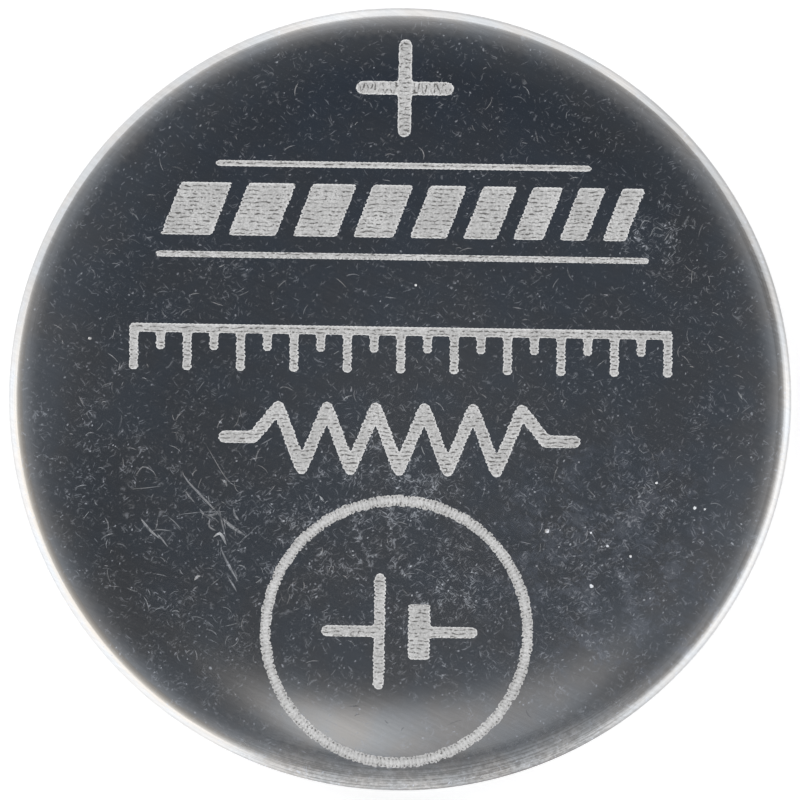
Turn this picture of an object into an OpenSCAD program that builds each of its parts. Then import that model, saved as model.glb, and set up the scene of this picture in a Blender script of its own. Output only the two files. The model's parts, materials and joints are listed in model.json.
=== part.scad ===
// Lithium coin cell, 20 mm across and 1.6 mm thick, in millimetres.
// It lies on its negative face, with the positive face and its etched marks on top.
// The origin is the centre of the negative face, and +Z points to the positive face.

/* [Cell] */
// Diameter over the side wall of the can
cell_d = 20; // [19.5:0.1:25]
// Thickness from the negative face to the positive face
cell_h = 1.6; // [1.5:0.05:3.2]

/* [Positive can] */
// Sheet thickness of the can
can_t = 0.2; // [0.15:0.01:0.25]
// Outer radius of the rolled edge between the face and the side wall
face_bend_r = 0.7; // [0.5:0.05:0.75]
// Outer radius of the crimp that closes the can
crimp_r = 0.5; // [0.4:0.05:0.55]
// Angle through which the crimp turns the wall inwards
crimp_angle = 105; // [95:1:110]
// Straight length of the lip past the crimp
lip_len = 0.35; // [0.2:0.05:0.5]
// Height of the lowest point of the crimp above the negative face
crimp_lift = 0.12; // [0.1:0.01:0.2]

/* [Negative cap] */
// Sheet thickness of the cap
cap_t = 0.2; // [0.15:0.01:0.25]
// Width of the flat ring of the shoulder, between the step and the bend of the skirt
shoulder_w = 0.54; // [0.45:0.01:1.2]
// Slope of the step between the contact face and the shoulder
step_angle = 60; // [50:1:75]
// Radius of the middle of the sheet in the cap's bends
cap_bend_r = 0.25; // [0.2:0.01:0.3]

/* [Sealing gasket] */
// Thickness between the side wall of the can and the skirt of the cap
gasket_t = 0.3; // [0.25:0.01:0.4]
// Thickness squeezed between the tip of the lip and the cap's shoulder
pinch_t = 0.14; // [0.1:0.01:0.25]
// Thickness under the end of the cap's skirt
foot_t = 0.2; // [0.15:0.01:0.25]
// Width by which the gasket shows past the tip of the lip
gasket_show = 0.18; // [0.05:0.01:0.25]
// Height of the inner rib that grips the end of the skirt
rib_h = 0.16; // [0.1:0.01:0.25]
// Thickness of that rib
rib_t = 0.2; // [0.15:0.01:0.3]

/* [Cell contents] */
// Thickness of the lithium disc
lithium_t = 0.25; // [0.15:0.01:0.4]
// Thickness of the separator cloth
separator_t = 0.1; // [0.05:0.01:0.15]
// Thickness of the expanded-metal collector
collector_t = 0.1; // [0.05:0.01:0.15]
// Radial clearance between one round piece of the contents and the next
stack_gap = 0.05; // [0.02:0.01:0.1]
// Height of the clear space over the rim of the separator cup
cup_gap = 0.05; // [0.02:0.01:0.1]
// Length of one diamond opening in the collector
mesh_len = 1.2; // [0.8:0.1:2]
// Width of one diamond opening in the collector
mesh_wid = 0.7; // [0.5:0.1:1.2]
// Width of the metal left between two openings
strand_w = 0.16; // [0.1:0.01:0.25]

/* [Etched marks] */
// Depth of the etching
etch_depth = 0.02; // [0.01:0.005:0.05]
// Turn of all the marks about the centre of the face, in degrees
marks_turn = -0.9; // [-5:0.1:5]
// Length of each arm pair of the plus sign
plus_len = 2.51; // [1.5:0.01:3]
// Stroke width of the plus sign
plus_stroke = 0.34; // [0.2:0.02:0.5]
// Distance from the side wall to the middle of the plus sign
plus_inset = 2.08; // [1.8:0.01:2.5]
// Outer radius of the ring
ring_r = 3.48; // [2.5:0.01:3.6]
// Stroke width of the ring
ring_stroke = 0.28; // [0.15:0.01:0.5]
// Distance from the side wall to the outside of the ring
ring_inset = 0.6; // [0.5:0.01:1]
// Height of the upright band of slanted bars
bars_h = 1.34; // [0.8:0.02:1.6]
// Number of slanted bars
bars_n = 9; // [3:1:11]
// Width of the first and widest bar
bar_w = 1.3; // [1:0.05:1.35]
// Amount by which each bar is narrower than the one before it
bar_step = 0.09; // [0.02:0.01:0.09]
// Clear width between two bars
bar_gap = 0.42; // [0.2:0.02:0.5]
// Sideways lean of a bar from its foot to its top
bar_lean = 0.5; // [0:0.05:1]
// Height of the middle of the bars above the centre of the face
bars_y = 4.78; // [4.5:0.01:5]
// Stroke width of the two rules that frame the bars
rule_stroke = 0.15; // [0.1:0.01:0.3]
// Clear height between the bars and each rule
rule_gap = 0.42; // [0.3:0.01:0.5]
// Length of the rule above the bars
upper_rule_len = 9.6; // [5:0.1:11]
// Length of the rule below the bars
lower_rule_len = 12.6; // [5:0.1:14]
// Number of spaces between the ticks of the scale
tick_n = 20; // [4:2:30]
// Distance from one tick to the next
tick_pitch = 0.68; // [0.5:0.01:0.7]
// Stroke width of the scale
tick_stroke = 0.22; // [0.1:0.01:0.3]
// Length of a long tick, from the base line down
tick_long = 1.18; // [0.8:0.01:1.3]
// Length of a short tick, from the base line down
tick_short = 0.66; // [0.4:0.01:0.8]
// Height of the base line of the scale above the centre of the face
scale_y = 1.84; // [1.6:0.01:2.2]
// Number of half waves in the zigzag
zigzag_n = 11; // [3:2:13]
// Distance along the zigzag from one corner to the next
zigzag_pitch = 0.62; // [0.4:0.01:0.65]
// Height of the zigzag over its middle line, at a corner
zigzag_amp = 0.78; // [0.4:0.01:0.9]
// Stroke width of the zigzag
zigzag_stroke = 0.31; // [0.15:0.01:0.35]
// Length of the straight lead at each end of the zigzag
zigzag_lead = 0.75; // [0.3:0.01:1]
// Distance of the zigzag's middle line below the centre of the face
zigzag_drop = 1.02; // [0.9:0.01:1.1]
// Height of the long plate of the symbol inside the ring
plate_long = 2.7; // [1.5:0.05:3]
// Height of the short plate
plate_short = 1.4; // [0.8:0.05:1.45]
// Stroke width of the long plate and of the leads
plate_stroke = 0.28; // [0.15:0.01:0.4]
// Width of the short plate
plate_thick = 0.55; // [0.45:0.01:0.7]
// Clear width between the two plates
plate_gap = 0.6; // [0.4:0.01:0.8]
// Length of each lead
lead_len = 1.35; // [0.8:0.01:1.4]

/* [Hidden] */

// Facets of a full circle drawn by circle() or cylinder()
$fn = 96;
// Segments in each bend of a sheet, and in each round end of a mark
bend_n = 12;
end_n = 8;

// The can: radii and heights of its outside and its inside
can_r = cell_d / 2;
can_in_r = can_r - can_t;
floor_z = cell_h - can_t;
face_c = [can_r - face_bend_r, cell_h - face_bend_r];
crimp_c = [can_r - crimp_r, crimp_lift + crimp_r];
crimp_end = -crimp_angle;
lip_dir = [-sin(crimp_angle), -cos(crimp_angle)];
crimp_in_end = crimp_c + (crimp_r - can_t) * unit(crimp_end);
crimp_out_end = crimp_c + crimp_r * unit(crimp_end);
lip_in_tip = crimp_in_end + lip_len * lip_dir;
lip_out_tip = crimp_out_end + lip_len * lip_dir;

// The cap: the underside of its shoulder sits on the gasket that the lip squeezes
shoulder_z = lip_in_tip[1] + pinch_t;
skirt_r = can_in_r - gasket_t;
skirt_in_r = skirt_r - cap_t;
skirt_end_z = floor_z - foot_t;
cap_out_bend = cap_bend_r + cap_t / 2;
cap_in_bend = cap_bend_r - cap_t / 2;
skirt_c = [skirt_r - cap_out_bend, shoulder_z + cap_out_bend];
// The step rises by two bends and a straight stretch between them
step_straight = (shoulder_z - 2 * cap_bend_r * (1 - cos(step_angle))) / sin(step_angle);
step_run = 2 * cap_bend_r * sin(step_angle) + step_straight * cos(step_angle);
// The flat contact face is what the skirt, the shoulder and the step leave of the cap
contact_r = skirt_c[0] - shoulder_w - step_run;
foot_c = [contact_r, cap_out_bend];
shoulder_c = [contact_r + step_run, shoulder_z - cap_in_bend];

// The contents, stacked from the cap up to the can
lithium_z = cap_t;
separator_z = lithium_z + lithium_t;
pellet_z = separator_z + separator_t;
collector_z = floor_z - collector_t;
pellet_t = collector_z - pellet_z;
lithium_r = contact_r - stack_gap;
pellet_r = contact_r - separator_t - stack_gap;

// The etched marks
plus_y = can_r - plus_inset;
ring_y = -(can_r - ring_inset - ring_r);
mark_over = 0.1;

// Direction of an angle in the plane, in degrees from the first axis
function unit(a) = [cos(a), sin(a)];

// Points of an arc about c, from angle a0 to angle a1
function arc(c, r, a0, a1, n) = [for (i = [0:n]) c + r * unit(a0 + (a1 - a0) * i / n)];

// Outline of a stroke from p to q with round ends
function stroke(p, q, w) =
    let (a = atan2(q[1] - p[1], q[0] - p[0]))
    concat(arc(q, w / 2, a - 90, a + 90, end_n), arc(p, w / 2, a + 90, a + 270, end_n));

// Inside of the can, from the edge of its floor to the tip of the lip
function can_inside() = concat(
    arc(face_c, face_bend_r - can_t, 90, 0, bend_n),
    arc(crimp_c, crimp_r - can_t, 0, crimp_end, bend_n),
    [lip_in_tip]
);

// Outside of the can, from the tip of the lip to the edge of its face
function can_outside() = concat(
    [lip_out_tip],
    arc(crimp_c, crimp_r, crimp_end, 0, bend_n),
    arc(face_c, face_bend_r, 0, 90, bend_n)
);

// Outside of the cap's rim, from its shoulder to the end of the skirt
function rim_outside() = concat(
    arc(skirt_c, cap_out_bend, -90, 0, bend_n),
    [[skirt_r, skirt_end_z]]
);

// Drawn, rolled and crimped steel can, before it is marked
module can_sheet() {
    rotate_extrude()
        polygon(concat([[0, floor_z]], can_inside(), can_outside(), [[0, cell_h]]));
}

module plus_mark() {
    translate([0, plus_y]) {
        polygon(stroke([-(plus_len - plus_stroke) / 2, 0], [(plus_len - plus_stroke) / 2, 0], plus_stroke));
        polygon(stroke([0, -(plus_len - plus_stroke) / 2], [0, (plus_len - plus_stroke) / 2], plus_stroke));
    }
}

// Left end of a bar's foot: the widths and gaps of the bars before it
function bar_x(i) = i * (bar_w + bar_gap) - bar_step * i * (i - 1) / 2;

// Band of slanted bars, each a little narrower than the last, between two thin rules
module bars_mark() {
    bars_len = bar_x(bars_n) - bar_gap;
    translate([-(bars_len + bar_lean) / 2, bars_y - bars_h / 2])
        for (i = [0:bars_n - 1]) {
            w = bar_w - bar_step * i;
            translate([bar_x(i), 0])
                polygon([[0, 0], [w, 0], [w + bar_lean, bars_h], [bar_lean, bars_h]]);
        }
    rule_off = bars_h / 2 + rule_gap + rule_stroke / 2;
    rule(upper_rule_len, bars_y + rule_off);
    rule(lower_rule_len, bars_y - rule_off);
}

// Thin level line with round ends
module rule(len, y) {
    polygon(stroke([-(len - rule_stroke) / 2, y], [(len - rule_stroke) / 2, y], rule_stroke));
}

// Plain scale: a base line with long and short ticks hanging from it
module scale_mark() {
    half = tick_n * tick_pitch / 2;
    translate([-half - tick_stroke / 2, scale_y - tick_stroke])
        square([2 * half + tick_stroke, tick_stroke]);
    for (i = [0:tick_n]) {
        len = i % 2 == 0 ? tick_long : tick_short;
        translate([i * tick_pitch - half - tick_stroke / 2, scale_y - len])
            square([tick_stroke, len]);
    }
}

// Zigzag line with a straight lead at each end
module zigzag_mark() {
    half = (zigzag_n + 1) * zigzag_pitch / 2;
    // Corners lie in turn above and below the middle line, and the two ends lie on it
    corners = [for (i = [0:zigzag_n + 1])
        [i * zigzag_pitch - half, i == 0 || i > zigzag_n ? 0 : zigzag_amp * (i % 2 == 1 ? 1 : -1)]];
    route = concat([[-half - zigzag_lead, 0]], corners, [[half + zigzag_lead, 0]]);
    translate([0, -zigzag_drop])
        for (i = [0:len(route) - 2])
            polygon(stroke(route[i], route[i + 1], zigzag_stroke));
}

// Ring with the circuit symbol of a cell inside: a long and a short plate, each with a lead
module ring_mark() {
    long_x = -plate_gap / 2 - plate_stroke / 2;
    short_x = plate_gap / 2 + plate_thick / 2;
    translate([0, ring_y]) {
        difference() {
            circle(ring_r);
            circle(ring_r - ring_stroke);
        }
        polygon(stroke([long_x, -plate_long / 2], [long_x, plate_long / 2], plate_stroke));
        translate([short_x, 0]) square([plate_thick, plate_short], center = true);
        polygon(stroke([long_x - lead_len, 0], [long_x, 0], plate_stroke));
        polygon(stroke([short_x, 0], [short_x + lead_len, 0], plate_stroke));
    }
}

// One mark as a shallow cutter that reaches a little over the face
module cutter() {
    translate([0, 0, cell_h - etch_depth])
        rotate([0, 0, marks_turn])
            linear_extrude(etch_depth + mark_over) children();
}

module positive_can() {
    color([0.72, 0.73, 0.75])
        difference() {
            can_sheet();
            cutter() plus_mark();
            cutter() bars_mark();
            cutter() scale_mark();
            cutter() zigzag_mark();
            cutter() ring_mark();
        }
}

// Pressed steel cap: flat contact, sloping step, shoulder and skirt
module negative_cap() {
    below = concat(
        [[0, 0]],
        arc(foot_c, cap_out_bend, -90, step_angle - 90, bend_n),
        arc(shoulder_c, cap_in_bend, step_angle + 90, 90, bend_n),
        rim_outside()
    );
    above = concat(
        [[skirt_in_r, skirt_end_z]],
        arc(skirt_c, cap_in_bend, 0, -90, bend_n),
        arc(shoulder_c, cap_out_bend, 90, step_angle + 90, bend_n),
        arc(foot_c, cap_in_bend, step_angle - 90, -90, bend_n),
        [[0, cap_t]]
    );
    color([0.75, 0.76, 0.77]) rotate_extrude() polygon(concat(below, above));
}

// Moulded ring that fills the space between the can and the rim of the cap
module sealing_gasket() {
    tip_r = lip_in_tip[0] - gasket_show;
    section = concat(
        [[tip_r, shoulder_z]],
        rim_outside(),
        [[skirt_in_r, skirt_end_z], [skirt_in_r, skirt_end_z - rib_h],
         [skirt_in_r - rib_t, skirt_end_z - rib_h], [skirt_in_r - rib_t, floor_z]],
        can_inside(),
        [[tip_r, lip_in_tip[1]]]
    );
    color([0.16, 0.16, 0.17]) rotate_extrude() polygon(section);
}

// Expanded-metal disc: staggered rows of diamond openings inside a plain border
module cathode_collector() {
    col_pitch = mesh_len + strand_w * 2;
    row_pitch = (mesh_wid + strand_w * 2) / 2;
    cols = floor(pellet_r / col_pitch) + 1;
    rows = floor(pellet_r / row_pitch) + 1;
    reach = pellet_r - strand_w * 2;
    color([0.62, 0.62, 0.62])
        translate([0, 0, collector_z])
            linear_extrude(collector_t)
                difference() {
                    circle(pellet_r);
                    for (j = [-rows:rows], i = [-cols:cols]) {
                        x = (i + (j % 2 == 0 ? 0 : 0.5)) * col_pitch;
                        y = j * row_pitch;
                        far_x = norm([abs(x) + mesh_len / 2, y]);
                        far_y = norm([x, abs(y) + mesh_wid / 2]);
                        // Openings that would cut into the border are left out
                        if (far_x < reach && far_y < reach)
                            polygon([[x - mesh_len / 2, y], [x, y - mesh_wid / 2],
                                     [x + mesh_len / 2, y], [x, y + mesh_wid / 2]]);
                    }
                }
}

// Pressed powder disc
module cathode_pellet() {
    color([0.13, 0.13, 0.14]) translate([0, 0, pellet_z]) cylinder(h = pellet_t, r = pellet_r);
}

// Shallow cloth cup that holds the pellet and keeps it off the lithium and the cap
module separator() {
    cup_top = floor_z - cup_gap;
    color([0.93, 0.93, 0.90])
        rotate_extrude()
            polygon([
                [0, separator_z],
                [contact_r, separator_z],
                [contact_r, cup_top],
                [contact_r - separator_t, cup_top],
                [contact_r - separator_t, pellet_z],
                [0, pellet_z]
            ]);
}

// Soft lithium disc pressed on the inside of the cap
module lithium_anode() {
    color([0.70, 0.71, 0.72]) translate([0, 0, lithium_z]) cylinder(h = lithium_t, r = lithium_r);
}

positive_can();
negative_cap();
sealing_gasket();
cathode_collector();
cathode_pellet();
separator();
lithium_anode();
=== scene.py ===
import json
import math
import random
from functools import partial, reduce

import bpy
import numpy as np
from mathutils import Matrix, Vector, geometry

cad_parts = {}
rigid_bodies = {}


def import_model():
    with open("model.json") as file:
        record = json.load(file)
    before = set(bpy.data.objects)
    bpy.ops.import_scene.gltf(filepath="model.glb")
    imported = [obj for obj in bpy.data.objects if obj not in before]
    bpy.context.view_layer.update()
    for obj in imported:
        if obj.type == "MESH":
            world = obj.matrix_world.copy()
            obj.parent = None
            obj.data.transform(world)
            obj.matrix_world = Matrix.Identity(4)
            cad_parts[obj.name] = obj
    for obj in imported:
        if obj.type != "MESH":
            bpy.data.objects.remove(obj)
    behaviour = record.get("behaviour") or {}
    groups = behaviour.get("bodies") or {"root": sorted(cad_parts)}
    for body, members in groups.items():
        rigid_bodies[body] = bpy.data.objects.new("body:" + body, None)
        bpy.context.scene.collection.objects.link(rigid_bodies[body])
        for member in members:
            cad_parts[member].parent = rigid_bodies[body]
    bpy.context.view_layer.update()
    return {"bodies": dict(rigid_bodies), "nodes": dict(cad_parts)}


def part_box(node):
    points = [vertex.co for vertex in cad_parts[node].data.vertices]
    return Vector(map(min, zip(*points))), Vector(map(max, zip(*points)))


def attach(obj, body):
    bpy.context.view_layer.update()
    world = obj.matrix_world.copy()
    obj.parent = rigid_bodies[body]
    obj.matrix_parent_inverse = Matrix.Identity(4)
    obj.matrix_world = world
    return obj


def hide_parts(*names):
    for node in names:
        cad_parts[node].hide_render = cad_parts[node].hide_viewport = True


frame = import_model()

body = next(iter(frame["bodies"]))
dice = random.Random(2016)

# The script works in millimetres in the CAD frame, and MM turns them into metres
MM = 0.001
can_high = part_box("positive_can")[1]
CELL_R = can_high[0] / MM
CELL_H = can_high[2] / MM

# Sheet and bends of the can, as in the part's source
SHEET = 0.2
FACE_BEND = 0.7
CRIMP_R = 0.5
CRIMP_ANGLE = math.radians(105)
CRIMP_LIFT = 0.12
LIP_LEN = 0.35
LIP_ROUND = 0.02

# Corners of a turned section
AROUND = 360

# The face is not quite flat: it falls away a little towards the rolled edge
DOME_START = 6.6
DOME_TILT = math.radians(3.5)
DOME_RINGS = 24
DOME_AROUND = 180

# The marked disc ends this far out on the bend
RIM_PAST = 0.22

# Etched marks: depth, widths and turn
ETCH_DEPTH = 0.02
RING_STROKE = 0.28
PLUS_STROKE = 0.34
MARKS_TURN = math.radians(-0.9)

# A circle of the ring fills this share of a full disc, and the plus sign reaches this far up the face
RING_FILL = 0.88
PLUS_REACH = 0.85

# Outlines: distance of their points, rounding of their corners, and height of their stitches
OUTLINE_STEP = 0.017
CORNER_ROUNDS = 22
RING_POINTS = 720
SCALLOP = 0.045
RING_SCALLOP = 0.052
PLUS_SCALLOP = 0.016
WAVER = 0.004

# Laser strokes inside the marks: distance, gap to the outline, distance of their points, unevenness
HATCH = 0.1
STROKE_GAP = 0.04
RING_GAP = 0.045
STROKE_STEP = 0.055
STROKE_JITTER = 0.012
STROKE_WAVE = 0.014
RIDGE = 0.008

# In the plus sign each groove is slanted this far, and is at least this clear
PLUS_ZIGZAG = 0.075
PLUS_FAINTEST = 0.62

# Values of the groove attribute at the outlines. Below 0 the etched steel gets paler, partly for the
# laser's outline pass and partly as a painted highlight on the edge of the recess
EDGE = -1.0
RING_EDGE = 0.3

# Scratches and pits keep this distance from the marks, and the points of the dome the second one
CLEARANCE = 0.05
DOME_CLEARANCE = 0.06

# Hair scratches: how many, the place that most of them are near, its spread, and how far out they go
HAIR_COUNT = 420
HAIR_AT = (-4.5, -3.2)
HAIR_SPREAD = 12
HAIR_REACH = 8.8

# Other scratches and pits: distance of their points, corners and brightness of a pit
SCRATCH_STEP = 0.09
PIT_CORNERS = 10
PIT_BRIGHT = 4.0


# Small helpers for points in the plane, meshes and objects

def polar(r, angle):
    return np.array([r * math.cos(angle), r * math.sin(angle)])


def circle(r, count, shift=0.0):
    """Points of a full circle about the axis. shift turns it by a part of one step."""
    return [polar(r, 2 * math.pi * (i + shift) / count) for i in range(count)]


def arc(centre, r, start, end, n):
    """Points of an arc in the plane of the section, both ends included."""
    return [np.array(centre) + polar(r, start + (end - start) * i / n) for i in range(n + 1)]


def turned(points, angle):
    c, s = math.cos(angle), math.sin(angle)
    return points @ np.array([[c, s], [-s, c]])


def scatter(key, side=0.0):
    """A fixed number from 0 to 1 for each key."""
    v = np.sin(np.asarray(key) * 12.9898 + side * 78.233) * 43758.5453
    return v - np.floor(v)


def read(items, name, size=1, kind=float):
    """One property of all vertices, corners or faces of a mesh."""
    values = np.empty(len(items) * size, kind)
    items.foreach_get(name, values)
    return values.reshape(-1, size) if size > 1 else values


def new_object(name, data):
    ob = bpy.data.objects.new(name, data)
    bpy.context.scene.collection.objects.link(ob)
    return ob


# Section of the can: the dome meets the bend at DOME_R, and the marked disc ends at DISC_R
BEND_AT = CELL_R - FACE_BEND
DOME_R = BEND_AT + FACE_BEND * math.sin(DOME_TILT)
DOME_WIDTH = DOME_R - DOME_START
DOME_FALL = math.tan(DOME_TILT) * DOME_WIDTH / 3
BEND_C = (BEND_AT, CELL_H - DOME_FALL - FACE_BEND * math.cos(DOME_TILT))
DISC_R = BEND_AT + RIM_PAST
CRIMP_C = (CELL_R - CRIMP_R, CRIMP_LIFT + CRIMP_R)
INNER_BEND_C = (CELL_R - FACE_BEND, CELL_H - FACE_BEND)
LIP_ALONG = np.array([-math.sin(CRIMP_ANGLE), -math.cos(CRIMP_ANGLE)])
LIP_ACROSS = polar(1, -CRIMP_ANGLE)


def face_height(r):
    """Height of the can's face and of the start of its bend at radius r."""
    r = np.asarray(r, float)
    over = np.clip(r - DOME_START, 0, None)
    dome = CELL_H - math.tan(DOME_TILT) * over ** 3 / (3 * DOME_WIDTH ** 2)
    bend = BEND_C[1] + np.sqrt(np.clip(FACE_BEND ** 2 - (r - BEND_C[0]) ** 2, 0, None))
    return np.where(r < DOME_R, dome, bend)


def face_slope(r):
    """How steeply it falls there."""
    r = np.asarray(r, float)
    over = np.clip(r - DOME_START, 0, None)
    dome = math.tan(DOME_TILT) * over ** 2 / DOME_WIDTH ** 2
    sine = np.clip((r - BEND_C[0]) / FACE_BEND, 0, 0.99)
    return np.where(r < DOME_R, dome, sine / np.sqrt(1 - sine ** 2))


def lip_section():
    """The cut edge of the sheet, with its corners a little rounded."""
    middle = np.array(CRIMP_C) + (CRIMP_R - SHEET / 2) * LIP_ACROSS + LIP_LEN * LIP_ALONG
    back = LIP_ALONG * LIP_ROUND
    return [middle + LIP_ACROSS * SHEET * 0.5 - back, middle + LIP_ACROSS * SHEET * 0.4,
            middle - LIP_ACROSS * SHEET * 0.4, middle - LIP_ACROSS * SHEET * 0.5 - back]


def can_section():
    """The can's section from the rim of the marked disc round the crimp to its inner floor."""
    out = arc(BEND_C, FACE_BEND, math.acos((DISC_R - BEND_AT) / FACE_BEND), 0, 20)
    out += arc(CRIMP_C, CRIMP_R, 0, -CRIMP_ANGLE, 18)
    out += lip_section()
    out += arc(CRIMP_C, CRIMP_R - SHEET, -CRIMP_ANGLE, 0, 9)
    out += arc(INNER_BEND_C, FACE_BEND - SHEET, 0, math.pi / 2, 8)
    return out + [np.array([0.0, CELL_H - SHEET])]


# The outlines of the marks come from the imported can, where they are cut

def flat_triangles(node, height):
    """Points of a node's mesh in millimetres, and its triangles that lie flat at the height."""
    mesh = frame["nodes"][node].data
    mesh.calc_loop_triangles()
    co = read(mesh.vertices, "co", 3) / MM
    tri = read(mesh.loop_triangles, "vertices", 3, int)
    return co, tri[np.all(np.abs(co[tri][:, :, 2] - height) < 1e-4, axis=1)]


def open_edges(co, tri):
    """Edges that only one of the triangles has. Points at the same place count as one."""
    keys = {}
    same = [keys.setdefault(tuple(np.round(co[i, :2], 4)), i) for i in range(len(co))]
    edges = {}
    for a, b, c in tri:
        for p, q in ((a, b), (b, c), (c, a)):
            p, q = same[p], same[q]
            if (q, p) in edges:
                del edges[(q, p)]
            else:
                edges[(p, q)] = True
    return edges


def closed_rows(edges):
    """The closed rows of points that the edges make."""
    follow = {}
    for p, q in edges:
        follow.setdefault(p, []).append(q)
    rows = []
    while follow:
        row, at = [], next(iter(follow))
        while at in follow:
            row.append(at)
            nexts = follow[at]
            at = nexts.pop()
            if not nexts:
                del follow[row[-1]]
        rows.append(row)
    return rows


def face_outlines(node, height):
    """Outlines of the marks cut in the can's flat face. The widest row is the border of the flat.

    The ring's outer circle runs over that border, so it is drawn round the inner one."""
    co, tri = flat_triangles(node, height)
    loops = [co[row][:, :2] for row in closed_rows(open_edges(co, tri))]
    loops.sort(key=lambda p: -np.ptp(p[:, 0]))
    return loops[1:] + [widened(loop) for loop in loops if is_round(loop)]


def evenly(loop, step):
    """The closed outline again, with points at an even distance."""
    closed = np.vstack([loop, loop[:1]])
    length = np.concatenate([[0], np.cumsum(np.linalg.norm(np.diff(closed, axis=0), axis=1))])
    n = max(8, round(length[-1] / step))
    at = np.arange(n) * length[-1] / n
    return np.column_stack([np.interp(at, length, closed[:, k]) for k in (0, 1)])


def softened(loop, times):
    """The closed outline with its corners rounded."""
    for _ in range(times):
        loop = (np.roll(loop, 1, axis=0) + 2 * loop + np.roll(loop, -1, axis=0)) / 4
    return loop


def area(loop):
    x, y = loop[:, 0], loop[:, 1]
    return 0.5 * float(np.sum(x * np.roll(y, -1) - np.roll(x, -1) * y))


def is_round(loop):
    """True for the ring's two circles."""
    half = np.ptp(loop[:, 0]) / 2
    return abs(area(loop)) > RING_FILL * math.pi * half ** 2 > 1


def is_plus(loop):
    """True for the plus sign, which is the mark nearest to the top of the face."""
    return loop[:, 1].max() > PLUS_REACH * CELL_R


def widened(inner):
    """The ring's outer circle from its inner one."""
    middle = (inner.min(axis=0) + inner.max(axis=0)) / 2
    r = np.linalg.norm(inner - middle, axis=1).mean() + RING_STROKE
    return np.array([middle + polar(r, -2 * math.pi * i / RING_POINTS) for i in range(RING_POINTS)])


def stitches_all_round(loop, number):
    """Phase, weight and key of the stitches where strokes end all along the outline."""
    lines = round(len(loop) * OUTLINE_STEP / HATCH)
    phase = np.arange(len(loop)) / len(loop) * lines
    phase = phase + 0.3 * np.sin(phase * 2.1 + number) + 0.2 * np.sin(phase * 0.77)
    return phase, 1.0, number + 0.5


def stitches_level(loop, normal, number):
    """The same where all strokes are level, so that they end at the left and right sides only."""
    phase = turned(loop, -MARKS_TURN)[:, 1] / HATCH
    across = turned(normal, -MARKS_TURN)[:, 0]
    return phase, np.abs(across) ** 1.5, number + np.where(across > 0, 0.25, 0.75)


def serrated(loop, number, way):
    """The outline with the stitched edge that a marking laser leaves at the ends of its strokes.

    way is 1 where the mark lies inside the outline and -1 where it lies outside."""
    ahead = np.roll(loop, -1, axis=0) - np.roll(loop, 1, axis=0)
    ahead /= np.linalg.norm(ahead, axis=1)[:, None]
    normal = np.column_stack([ahead[:, 1], -ahead[:, 0]])
    depth, swell = SCALLOP, 0.86
    if is_round(loop):
        depth, swell = RING_SCALLOP, 1.0
    elif is_plus(loop):
        depth = PLUS_SCALLOP
    if is_round(loop) or is_plus(loop):
        phase, weight, side = stitches_all_round(loop, number)
    else:
        phase, weight, side = stitches_level(loop, normal, number)
    line = np.floor(phase)
    u = 2 * (phase - line) - 1
    lean = 1.2 * scatter(line, side + 3) - 0.3
    bulge = np.sqrt(np.clip(1 - u ** 2, 0, 1)) * (1 - lean * u * 0.6) - swell
    jitter = scatter(line, side) - 0.5
    out = depth * (bulge * (0.2 + 1.5 * scatter(line, side + 7)) + 0.6 * jitter)
    waver = WAVER * np.sin(np.arange(len(loop)) * 0.9 + number)
    return loop + way * normal * (weight * out + (1 - weight) * waver)[:, None]


def mark_outlines():
    """The stitched outlines of all marks."""
    outlines = []
    for number, loop in enumerate(face_outlines("positive_can", CELL_H)):
        loop = softened(evenly(loop, OUTLINE_STEP), CORNER_ROUNDS)
        # An outline that the mark lies outside of runs counter-clockwise, the others clockwise
        way = -1 if area(loop) > 0 else 1
        outlines.append(serrated(loop if way < 0 else loop[::-1], number, way))
    return outlines


# The laser's strokes inside the marks

def crossings(loops, level):
    """Where the level line y crosses the outlines, in order."""
    found = []
    for loop in loops:
        x0, y0 = loop[:, 0], loop[:, 1]
        x1, y1 = np.roll(x0, -1), np.roll(y0, -1)
        hit = (y0 <= level) != (y1 <= level)
        found += list(x0[hit] + (level - y0[hit]) / (y1[hit] - y0[hit]) * (x1[hit] - x0[hit]))
    return sorted(found)


def hatch_rows(loops, turn=MARKS_TURN, zigzag=0.0, faintest=0.5):
    """Points along the strokes inside the outlines: faintest to 1 in a groove, and 0 on a ridge.

    zigzag is how far a groove rises or falls from one end to the other, in millimetres."""
    own = [turned(loop, -turn) for loop in loops]
    low = min(loop[:, 1].min() for loop in own)
    high = max(loop[:, 1].max() for loop in own)
    rows, groove = [], []
    wave, start = 8.0, 0.0
    for k in range(math.floor(2 * low / HATCH), math.ceil(2 * high / HATCH) + 1):
        level = (k + 0.07) * HATCH / 2
        in_groove = k % 2
        if in_groove:
            wave, start = dice.uniform(9, 18), dice.uniform(0, 6)
        ends = crossings(own, level)
        for x0, x1 in zip(ends[::2], ends[1::2]):
            x0, x1 = x0 + STROKE_GAP, x1 - STROKE_GAP
            if x1 < x0:
                continue
            n = max(1, round((x1 - x0) / STROKE_STEP))
            for i in range(n + 1):
                x = x0 + (x1 - x0) * i / n + dice.uniform(-STROKE_JITTER, STROKE_JITTER)
                slant = zigzag * in_groove * (k % 4 - 2) * (i / n - 0.5)
                bend = STROKE_WAVE * math.sin(wave * x + start)
                y = level + slant + bend + dice.uniform(-STROKE_JITTER, STROKE_JITTER)
                rows.append((x, y))
                groove.append(in_groove * dice.uniform(faintest, 1.0))
    return turned(np.array(rows), turn), np.array(groove)


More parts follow.
